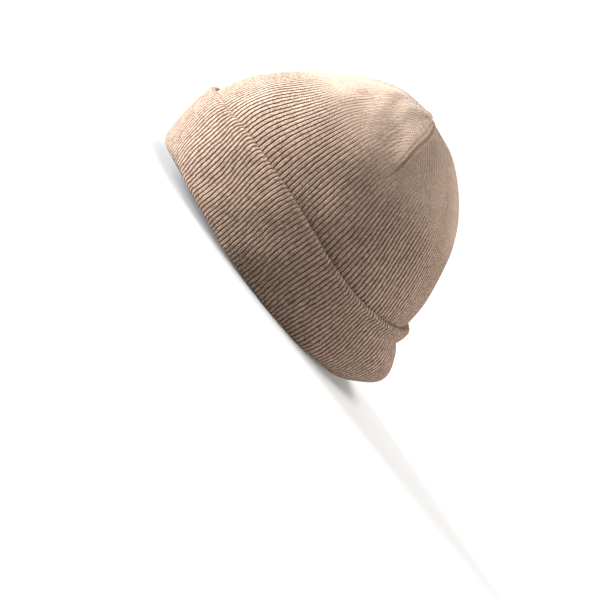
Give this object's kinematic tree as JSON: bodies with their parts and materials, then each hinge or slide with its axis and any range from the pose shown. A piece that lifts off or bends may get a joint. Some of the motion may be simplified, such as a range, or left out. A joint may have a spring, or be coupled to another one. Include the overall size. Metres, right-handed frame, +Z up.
{
  "type": "cuffed knit beanie",
  "caption": "Fine-rib knitted watch cap with a turned-up two-layer cuff, a lined crown and darts meeting at the tip.",
  "frame": {"origin": "middle of the hat's whole box in plan, at the underside of the bottom fold on which it stands", "axes": "+Z up along the crown's axis to the tip, -Y to the brow, +Y to the nape, X across the head"},
  "size_m": [0.176, 0.223, 0.1551],
  "materials": {
    "rib_knit": "fine rib knit, matt",
    "lining_knit": "fine rib knit, matt",
    "seam_thread": "self-colour sewing yarn, matt"
  },
  "bodies": {
    "cuff": {"cuff_outer_layer": "rib_knit", "cuff_inner_layer": "rib_knit", "cuff_top_fold": "rib_knit", "cuff_bottom_fold": "rib_knit"},
    "crown": {"outer_shell": "rib_knit", "lining": "lining_knit", "crown_dart_seam_right": "seam_thread", "crown_dart_seam_back": "seam_thread", "crown_dart_seam_left": "seam_thread", "crown_dart_seam_front": "seam_thread", "lining_dart_seam_right": "seam_thread", "lining_dart_seam_back": "seam_thread", "lining_dart_seam_left": "seam_thread", "lining_dart_seam_front": "seam_thread", "crown_closing_stitches": "seam_thread", "lining_closing_stitches": "seam_thread", "crown_tack_thread": "seam_thread"}
  },
  "joints": [
    {"name": "cuff_unroll", "type": "slide", "parent": "cuff", "child": "crown", "axis": [0, 0, 1], "range_m": [0, 0.045]}
  ]
}
